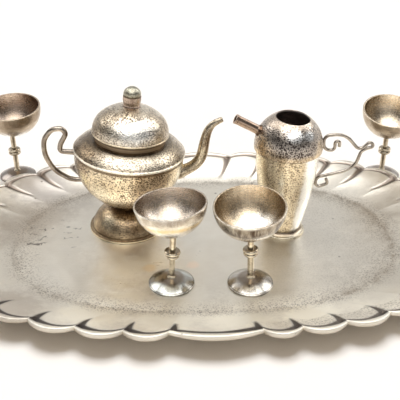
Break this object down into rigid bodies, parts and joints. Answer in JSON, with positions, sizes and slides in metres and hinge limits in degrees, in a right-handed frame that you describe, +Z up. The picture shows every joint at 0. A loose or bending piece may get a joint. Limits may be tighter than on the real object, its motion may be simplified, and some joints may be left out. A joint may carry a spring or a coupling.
{
  "type": "miniature tea set",
  "caption": "Miniature silver tea set: scalloped oval tray with a lidded teapot, a domed jug with a tube spout and scroll handle, and round-bowled stemmed goblets.",
  "frame": {"origin": "middle of the tray's flat underside, on the table", "axes": "+X along the tray's length towards the jug, +Y to the back, +Z up"},
  "size_m": [0.1014, 0.0678, 0.03],
  "materials": {
    "tray_silver": "satin, brushed lengthways, dark in the creases",
    "frosted_silver": "fine-grained frosting with brown tarnish",
    "goblet_silver": "turned and lightly polished, tarnished gold brown inside",
    "wire_silver": "satin drawn wire",
    "warm_silver": "satin with a coppery tarnish"
  },
  "bodies": {
    "tray": {"tray": "tray_silver"},
    "teapot": {"teapot_foot": "frosted_silver", "teapot_shoulder": "frosted_silver", "teapot_neck": "frosted_silver", "teapot_handle": "wire_silver", "teapot_spout": "wire_silver", "teapot_bowl": "frosted_silver"},
    "lid": {"lid_dome": "frosted_silver", "lid_rim": "frosted_silver", "lid_bezel": "frosted_silver", "lid_finial_stem": "warm_silver", "lid_finial_cap": "frosted_silver"},
    "jug": {"jug_foot": "frosted_silver", "jug_cup": "frosted_silver", "jug_spout": "warm_silver", "jug_dome": "frosted_silver", "jug_handle": "wire_silver"},
    "goblet_front_left": {"goblet_front_left_foot": "goblet_silver", "goblet_front_left_stem": "goblet_silver", "goblet_front_left_knop": "goblet_silver", "goblet_front_left_bowl": "goblet_silver"},
    "goblet_front_right": {"goblet_front_right_foot": "goblet_silver", "goblet_front_right_stem": "goblet_silver", "goblet_front_right_knop": "goblet_silver", "goblet_front_right_bowl": "goblet_silver"},
    "goblet_rear_left": {"goblet_rear_left_foot": "goblet_silver", "goblet_rear_left_stem": "goblet_silver", "goblet_rear_left_knop": "goblet_silver", "goblet_rear_left_bowl": "goblet_silver"},
    "goblet_rear_right": {"goblet_rear_right_foot": "goblet_silver", "goblet_rear_right_stem": "goblet_silver", "goblet_rear_right_knop": "goblet_silver", "goblet_rear_right_bowl": "goblet_silver"}
  },
  "joints": [
    {"name": "teapot_lift", "type": "slide", "parent": "tray", "child": "teapot", "axis": [0, 0, 1], "range_m": [0, 0.032]},
    {"name": "lid_lift", "type": "slide", "parent": "teapot", "child": "lid", "axis": [0.0958, 0, 0.9954], "range_m": [0, 0.012]},
    {"name": "jug_lift", "type": "slide", "parent": "tray", "child": "jug", "axis": [0, 0, 1], "range_m": [0, 0.032]},
    {"name": "goblet_front_left_lift", "type": "slide", "parent": "tray", "child": "goblet_front_left", "axis": [0, 0, 1], "range_m": [0, 0.032]},
    {"name": "goblet_front_right_lift", "type": "slide", "parent": "tray", "child": "goblet_front_right", "axis": [0, 0, 1], "range_m": [0, 0.032]},
    {"name": "goblet_rear_left_lift", "type": "slide", "parent": "tray", "child": "goblet_rear_left", "axis": [0, 0, 1], "range_m": [0, 0.032]},
    {"name": "goblet_rear_right_lift", "type": "slide", "parent": "tray", "child": "goblet_rear_right", "axis": [0, 0, 1], "range_m": [0, 0.032]}
  ]
}
